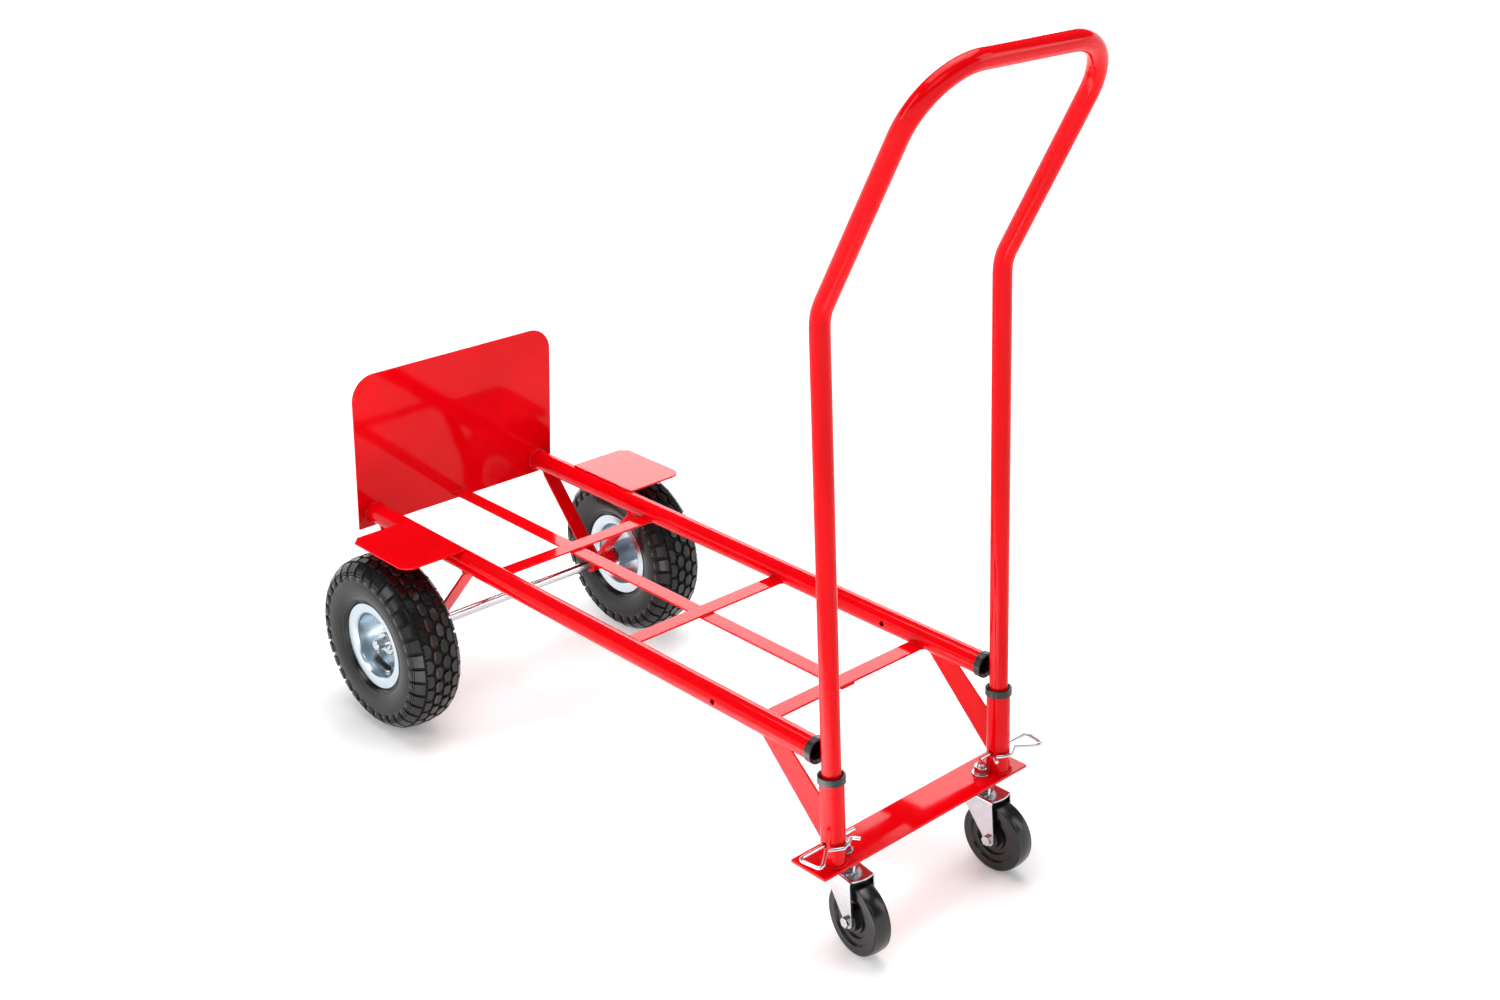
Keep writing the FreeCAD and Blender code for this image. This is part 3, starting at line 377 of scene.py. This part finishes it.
def strut_welds(s):
    """Beads at both ends of one side's struts."""
    beads, y = [], s * RAIL_Y
    for top_x, half in STRUTS:
        along = Vector((top_x - AXLE_X, 0, RAIL_Z - RAIL_R - AXLE_Z)).normalized()
        across = Vector((along.z, 0, -along.x))
        foot = Vector((AXLE_X, y, AXLE_Z)) + along * (BOSS_R + 0.4)
        for end in (-1, 1):
            place = foot + across * end * 2.9
            beads.append(bead([place - Vector((0, 12, 0)), place + Vector((0, 12, 0))], 1.9))
            x = top_x + end * half * 1.05
            arc = [(x, y + d, RAIL_Z - math.sqrt(RAIL_R ** 2 - d * d) - 0.7) for d in (-12, -8, -4, 0, 4, 8, 12)]
            beads.append(bead(arc, 2.2))
        for d in (-11.6, 11.6):
            high = RAIL_Z - math.sqrt(RAIL_R ** 2 - d * d)
            beads.append(bead([(top_x, y + d, high - 0.6), (top_x, y + d, RAIL_Z - RAIL_R - 0.6)], 2.2))
    return beads


def sleeve_welds(s):
    """Beads at a sleeve's foot, left open beside its kingpin, and along the gusset."""
    y = s * RAIL_Y
    toward_pin = math.degrees(math.atan2(-s * 27.4, -7.8))
    beads = [bead(ring_path((SLEEVE_X, y, PLATE_TOP + 0.7), RAIL_R + 0.9, 36, toward_pin + 48, 264), 2.1)]
    for d in (-2.6, 2.6):
        beads.append(bead([(x, y + d, 262.4) for x in GUSSET_TOP], 1.9))
        beads.append(bead([(x, y + d, z) for x, z in GUSSET_FOOT], 2.4))
    beads.append(bead([(437.6, y, 149.0), (435.2, y, 151.6)], 2.0))
    return beads


def bar_welds():
    """Beads between the centre bar, the crossbars and the toe plate."""
    beads = []
    for x in CROSSBARS:
        for end in (-1, 1):
            edge = x + end * (BAR_HALF + 0.4)
            if edge < CENTRE_BAR_END:
                beads.append(bead([(edge, -12, BAR_TOP - BAR + 0.3), (edge, 12, BAR_TOP - BAR + 0.3)], 1.6))
            beads.append(bead([(x - 11, end * 12.9, BAR_TOP - BAR - 0.3),
                                   (x + 11, end * 12.9, BAR_TOP - BAR - 0.3)], 1.5))
    for z in (BAR_TOP - BAR + 0.3, BAR_TOP - 2 * BAR - 0.3):
        beads.append(bead([(TOE_X + 0.9, -12, z), (TOE_X + 0.9, 12, z)], 1.7))
    return beads


for side, s in SIDES.items():
    make("weld_beads_rail_" + side, *gather(rail_welds(s)), "red_paint", "frame", 60)
    make("weld_beads_axle_" + side, *gather(strut_welds(s)), "red_paint", "frame", 60)
    make("weld_beads_sleeve_" + side, *gather(sleeve_welds(s)), "red_paint", "frame", 60)
make("weld_beads_centre_bar", *gather(bar_welds()), "red_paint", "frame", 60)

# ---------------------------------------------------------------- knobbly tyres

PITCHES = 34  # tread blocks round the tyre, in each row
PITCH, TURNS = 2 * math.pi / PITCHES, PITCHES * 4
TREAD_R = 137.0
PROFILE_ENDS = (0.2, 59.5)  # the nearest and furthest that a block reaches along the tread
GROOVE_DEPTH = 2.6  # depth below the lug tops at which the shade is darkest
# Half of the casing's outline as (radius, distance from the middle): bead, side wall, tread floor.
WALL_OUT = [(52.7, 14), (52.6, 23), (55, 27.5), (59.5, 30.2), (69.3, 30.8), (70.2, 33.2), (74, 37), (80, 40.2),
            (88, 42.5), (96, 43.3), (104, 43.0), (112, 41.3), (118, 39), (124, 35.5), (130, 29.5), (132.4, 20),
            (133, 8), (133, 0)]
WALL_IN = [(125.5, 0), (125, 16), (121.5, 28), (113, 34.5), (100, 36.5), (86, 34.5), (75, 29.5), (66, 25),
           (58, 20.5)]
# Along the tread from the middle: distance, lug top (radius, side) and lug foot (radius, side).
PROFILE = [(0, (137.4, 0), (132.5, 0)), (8, (137.4, 8), (132.5, 8)), (15, (137.0, 15), (132.1, 14.6)),
           (25, (134.9, 25), (130.0, 23.4)), (33, (131.2, 32.1), (126.8, 29.4)),
           (41, (125.9, 38.1), (122.4, 35.2)), (46, (121.4, 41.3), (118.2, 38.0)),
           (54, (113.4, 43.5), (111.6, 40.6)), (60, (107.4, 43.9), (105.6, 42.0))]
# Tread blocks in one pitch of one side: rows of (distance from the middle, start, end) in pitches.
BLOCKS = [
    [(1.3, 0.33, 0.67), (4.2, 0.15, 0.85), (10.2, 0.12, 0.88), (13.4, 0.30, 0.70)],
    [(29.8, 0.11, 0.89), (34.0, 0.10, 0.90), (40.0, 0.11, 0.89), (46.0, 0.12, 0.88)],
    [(47.1, 0.13, 0.87), (49.9, 0.13, 0.87)],
    [(51.0, 0.14, 0.86), (54.5, 0.17, 0.83), (58.2, 0.26, 0.74)],
]
# The block with a toothed outer edge, as (pitches, distance from the middle) round its outline.
TOOTHED = [(-0.20, 16.2), (0.20, 16.2), (0.40, 20.0), (0.42, 26.0), (0.32, 28.2), (0.21, 25.8), (0.10, 28.2),
           (-0.01, 25.8), (-0.12, 28.2), (-0.23, 25.8), (-0.34, 28.2), (-0.42, 26.0), (-0.40, 20.0)]


def on_profile(distance, share):
    """Radius and side distance at a place along the tread: share 1 is the lug's top, 0 its foot."""
    for (a, top_a, foot_a), (b, top_b, foot_b) in zip(PROFILE, PROFILE[1:]):
        if distance <= b:
            break
    t = (distance - a) / (b - a)
    top, foot = Vector(top_a).lerp(Vector(top_b), t), Vector(foot_a).lerp(Vector(foot_b), t)
    return foot.lerp(top, share)


def block(rows, angle, flip):
    """A rubber block from rows across the tread; its top follows the crown."""
    outline = [(a, d) for d, a, _ in rows] + [(b, d) for d, _, b in rows[::-1]]
    count, top = len(outline), 2 * len(outline)
    tops = [(top + k, top + k + 1, top + count - 2 - k, top + count - 1 - k) for k in range(len(rows) - 1)]
    return walls(outline, angle, flip, tops)


def walls(outline, angle, flip, tops=None):
    """A block's sunk foot, upright walls and small chamfer, closed by its top faces."""
    flat = [Vector((PITCH * u * TREAD_R, d)) for u, d in outline]
    count, rings = len(flat), []
    middle = sum(flat, Vector((0, 0))) / count
    for inset, share in ((-0.4, -0.1), (0.0, 0.90), (0.5, 1.0)):
        ring = []
        for k, point in enumerate(flat):
            tangent = (flat[(k + 1) % count] - flat[k - 1]).normalized()
            inward = Vector((-tangent.y, tangent.x))
            if inward.dot(middle - point) < 0:
                inward.negate()
            u, d = point + inward * inset
            radius, out = on_profile(max(PROFILE_ENDS[0], min(d, PROFILE_ENDS[1])), share)
            turn = angle + u / TREAD_R
            ring.append(Vector((radius * math.cos(turn), flip * out, radius * math.sin(turn))) * MM)
        rings.append(ring)
    points = [p for ring in rings for p in ring]
    faces = [(i * count + k, i * count + (k + 1) % count, (i + 1) * count + (k + 1) % count, (i + 1) * count + k)
             for i in (0, 1) for k in range(count)]
    faces += tops or [tuple(range(2 * count, 3 * count))]
    return points, faces + [tuple(range(count))[::-1]]


def casing():
    """The tyre's casing, turned all the way round."""
    outer = smooth_run(WALL_OUT, 2)
    inner = [Vector(p) for p in WALL_IN]
    half = outer + inner
    loop = half[:-len(inner)] + [Vector((r, -y)) for r, y in outer[-2::-1]]
    loop += [Vector((r, -y)) for r, y in inner[::-1]][:-1] + inner
    rings = []
    for k in range(TURNS):
        t = 2 * math.pi * k / TURNS
        rings.append([Vector((r * math.cos(t), y, r * math.sin(t))) * MM for r, y in loop])
    return shell(rings, loop=True)


def sidewall_ribs():
    """Thin raised rings on both side walls."""
    shells = []
    for flip in (1, -1):
        for radius, out, size in ((75.5, 37.7, 0.9), (84, 41.2, 0.45), (102.5, 43.0, 0.45)):
            rings = []
            for k in range(TURNS):
                t = 2 * math.pi * k / TURNS
                ring = []
                for n in range(6):
                    a = math.pi * n / 3
                    r, y = radius + size * math.cos(a) * 1.3, out + size * math.sin(a)
                    ring.append(Vector((r * math.cos(t), flip * y, r * math.sin(t))) * MM)
                rings.append(ring)
            shells.append(shell(rings, loop=True))
    return shells


def tread_height(point):
    """1 on the lugs' tops and the side walls, 0 in the tread's grooves; it sets how far the grooves' painted shade
    darkens the rubber.
    """
    radius, out = math.hypot(point.x, point.z) / MM, abs(point.y) / MM
    if radius < 112:
        return 1.0
    return max(0.0, 1 - profile_gap(radius, out) / GROOVE_DEPTH)


def profile_gap(radius, out):
    """Distance in millimetres from a point to the lug tops' outline."""
    gaps = []
    for (_, a, _), (_, b, _) in zip(PROFILE, PROFILE[1:]):
        start, along = Vector(a), Vector(b) - Vector(a)
        t = max(0, min(1, (Vector((radius, out)) - start).dot(along) / along.length_squared))
        gaps.append((Vector((radius, out)) - start - along * t).length)
    return min(gaps)


def tyre(side, s):
    """The moulded tyre, which stands for the plain CAD tyre in the picture."""
    shells = [casing()] + sidewall_ribs()
    for k in range(PITCHES):
        for flip in (1, -1):
            angle = PITCH * (k + (0.5 if flip < 0 else 0.0))
            shells += [block(rows, angle, flip) for rows in BLOCKS] + [walls(TOOTHED, angle, flip)]
    points, faces = gather(shells)
    centre = Vector((WHEEL.x, s * WHEEL.y, WHEEL.z))
    heights = [tread_height(p) for p in points]
    piece = make("tyre_detail_" + side, [p + centre for p in points], faces, "tyre_rubber", "wheel_" + side, 32,
                 heights)
    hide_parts("tyre_" + side)


for side, s in SIDES.items():
    tyre(side, s)

# ---------------------------------------------------------------- valve and bolt details


def turned(profile, count=32, facets=0):
    """A closed solid turned about +Z from (radius, height) pairs; facets make its widest rows angular."""
    rings = []
    for radius, height in profile:
        ring = []
        for k in range(count):
            t = 2 * math.pi * k / count
            r = radius
            if facets:
                nearest = (t + math.pi / facets) % (2 * math.pi / facets) - math.pi / facets
                r = min(radius, radius * math.cos(math.pi / facets) / math.cos(nearest))
            ring.append(Vector((r * math.cos(t), r * math.sin(t), height)) * MM)
        rings.append(ring)
    return shell(rings)


def thread(radius, pitch, length, axis_start, axis, depth=0.5):
    """A helical thread ridge along an axis, its ends faded into the shank."""
    axis = Vector(axis).normalized()
    side = axis.orthogonal().normalized()
    up = axis.cross(side)
    steps, rings = 20, []
    total = int(length / pitch * steps)
    for i in range(total + 1):
        t, fade = 2 * math.pi * i / steps, min(1, i / 6, (total - i) / 6)
        out = side * math.cos(t) + up * math.sin(t)
        base = Vector(axis_start) + axis * (pitch * i / steps)
        crest = radius + depth * fade
        rings.append([(base + out * r + axis * h) * MM for r, h in
                      ((radius - 0.4, -pitch * 0.42), (crest, -pitch * 0.08), (crest, pitch * 0.08),
                       (radius - 0.4, pitch * 0.42))])
    return shell(rings)


def place(shells, matrix):
    """Several shells as one, moved by a matrix."""
    points, faces = gather(shells)
    return [matrix @ p for p in points], faces


for side, s in SIDES.items():
    wheel = Matrix.Translation((WHEEL.x, s * WHEEL.y, WHEEL.z)) @ Matrix.Rotation(math.radians(VALVE_TURN), 4, "Y")
    stem = Vector((0, s * 19, -24.5)).normalized()
    tip = Vector((0, s * 29, 22.7)) * MM
    aim = stem.to_track_quat("Z", "Y").to_matrix().to_4x4()
    cap = turned([(0.4, -9.0), (4.95, -9.0), (5.2, -8.6), (5.2, -1.0), (4.9, 0.4), (3.6, 1.2), (0.4, 1.3)], 36)
    ribs = [(p * (1.035 if k % 2 else 0.975) if 5.0 * MM < p.xy.length else p) for k, p in enumerate(cap[0])]
    cap = ([Vector((r.x, r.y, p.z)) for r, p in zip(ribs, cap[0])], cap[1])
    make("valve_cap_" + side, *place([cap], wheel @ Matrix.Translation(tip) @ aim), "tube_rubber",
         "wheel_" + side, 40)
    ring = turned([(4.55, -1.6), (6.6, -1.6), (7.2, -1.2), (7.2, 0.9), (6.6, 1.3), (4.55, 1.3)], 36, 6)
    collar = wheel @ Matrix.Translation(Vector((0, s * 10, 48.4)) * MM)
    make("valve_nut_" + side, *place([ring], collar), "bright_zinc", "wheel_" + side, 30)

for side, s in SIDES.items():
    start = (KINGPIN[0], s * KINGPIN[1], KINGPIN[2])
    make("kingpin_thread_" + side, *thread(5.5, 1.5, 3.8, start, (0, 0, 1), 0.35), "bright_zinc", "frame", 50)

# ---------------------------------------------------------------- floor, light and camera


# The floor's rings in metres, (radius, height), and its count of spokes, 5 degrees apart.
FLOOR = ((0.5, 0), (3, 0), (7.5, 0), (9.0, 0.12), (10.2, 0.5), (11.0, 1.1), (11.4, 1.9), (11.6, 3.0), (11.7, 4.3))
SPOKES, FLOOR_DROP = 72, 0.0002


def pale_floor():
    """A wide round sheet whose far edge turns up; it glows a little, most on the near side of the deck, and that
    glow is painted light.
    """
    turns = [math.radians(5 * k) for k in range(SPOKES)]
    rings = [[Vector((radius * math.cos(t), radius * math.sin(t), height - FLOOR_DROP)) for t in turns]
             for radius, height in FLOOR]
    points, faces = shell(rings, closed_ends=False)
    faces.append(tuple(range(SPOKES))[::-1])
    mesh = bpy.data.meshes.new("floor")
    mesh.from_pydata([tuple(p) for p in points], [], faces)
    mesh.shade_smooth()
    m = Nodes("pale_floor")
    # Painted light: the floor's emission adds a pool of light on the near side of the deck, and a glow that rises
    # towards the far edge and fades with height.
    pool = m.add("ShaderNodeTexGradient", gradient_type="SPHERICAL")
    m.join(m.place((1.33, 2.38, 1), (-0.40, 1.48, 0)), pool.inputs["Vector"])
    far = m.add("ShaderNodeTexGradient", gradient_type="SPHERICAL")
    m.join(m.place((0.22, 0.22, 0.22)), far.inputs["Vector"])
    split = m.add("ShaderNodeSeparateXYZ")
    m.join(m.where, split.inputs[0])
    fade = m.math("SUBTRACT", 1.0, m.math("MULTIPLY", split.outputs["Z"], 0.11))
    rise = m.math("MULTIPLY", m.ramp(far.outputs["Fac"], [(0.0, 0.80), (0.65, 0.16)]), fade)
    glow = m.math("ADD", m.math("MULTIPLY", pool.outputs["Fac"], 6.5), rise)
    # Painted light: faint glowing patches on the floor, which show as mottled reflections in the paint.
    clouds = m.math("MULTIPLY", m.ramp(m.noise(1.7, 1), [(0.40, 0.0), (0.65, 1.0)]), 0.25)
    m.set(Base_Color=m.ramp(m.noise(1.5, 2), [(0.3, 0.86), (0.7, 0.88)]), Roughness=0.9,
          Specular_IOR_Level=0.1, Emission_Color=(1, 1, 1, 1), Emission_Strength=m.math("ADD", glow, clouds))
    mesh.materials.append(m.material)
    floor = bpy.data.objects.new("floor", mesh)
    SCENE.collection.objects.link(floor)


def softbox(name, azimuth, elevation, distance, width, height, radiance, target=(0, 0, 0.35)):
    """A rectangular light that looks at the target from a direction, with a given brightness."""
    a, e = math.radians(azimuth), math.radians(elevation)
    back = Vector((math.cos(e) * math.cos(a), math.cos(e) * math.sin(a), math.sin(e)))
    lamp = bpy.data.lights.new(name, "AREA")
    lamp.shape, lamp.size, lamp.size_y = "RECTANGLE", width, height
    lamp.energy = radiance * math.pi * width * height
    piece = bpy.data.objects.new(name, lamp)
    piece.location = Vector(target) + back * distance
    piece.rotation_euler = back.to_track_quat("Z", "Y").to_euler()
    piece.visible_camera = False
    SCENE.collection.objects.link(piece)


def studio():
    """Six soft lights and a dim sky that brightens upwards."""
    # name, azimuth and elevation in degrees, distance, width and height in metres, brightness
    softbox("overhead", 150, 82, 3.4, 3.2, 2.8, 3.7)
    softbox("key", 120, 80, 3.2, 0.8, 0.5, 7.0)
    softbox("back_panel", 134, 24, 4.6, 2.1, 1.6, 5.0)
    softbox("left_panel", -108, 34, 4.2, 1.5, 2.4, 3.4)
    softbox("right_panel", 40, 30, 4.4, 1.3, 2.4, 2.6)
    softbox("front_fill", -42, 48, 4.2, 2.0, 1.4, 1.6)
    world = bpy.data.worlds.new("studio")
    world.use_nodes = True
    tree = world.node_tree
    sky = tree.nodes["Background"]
    where = tree.nodes.new("ShaderNodeTexCoord")
    split = tree.nodes.new("ShaderNodeSeparateXYZ")
    spread = tree.nodes.new("ShaderNodeMapRange")
    spread.inputs["From Min"].default_value, spread.inputs["From Max"].default_value = 0.0, 0.9
    spread.inputs["To Min"].default_value, spread.inputs["To Max"].default_value = 0.02, 0.20
    tree.links.new(where.outputs["Generated"], split.inputs[0])
    tree.links.new(split.outputs["Z"], spread.inputs["Value"])
    tree.links.new(spread.outputs["Result"], sky.inputs["Strength"])
    sky.inputs["Color"].default_value = (0.93, 0.97, 1.0, 1)
    SCENE.world = world
    SCENE.view_settings.view_transform = "Standard"


def camera():
    """The photo's viewpoint: lens, place and the three directions of its own axes."""
    lens = bpy.data.cameras.new("camera")
    lens.lens, lens.sensor_width = 45.83, 36.0
    lens.shift_x, lens.shift_y = -0.00185, 0.0006
    eye = bpy.data.objects.new("camera", lens)
    right = Vector((0.69007504, 0.72369611, 0.00777031))
    up = Vector((-0.29811924, 0.27445341, 0.91422111))
    back = Vector((0.65948568, -0.63319765, 0.40514118))
    turn = Matrix((right, up, back)).transposed().to_4x4()
    eye.matrix_world = Matrix.Translation((1.8395, -1.6381, 1.5238)) @ turn
    SCENE.collection.objects.link(eye)
    SCENE.camera = eye


pale_floor()
studio()
camera()
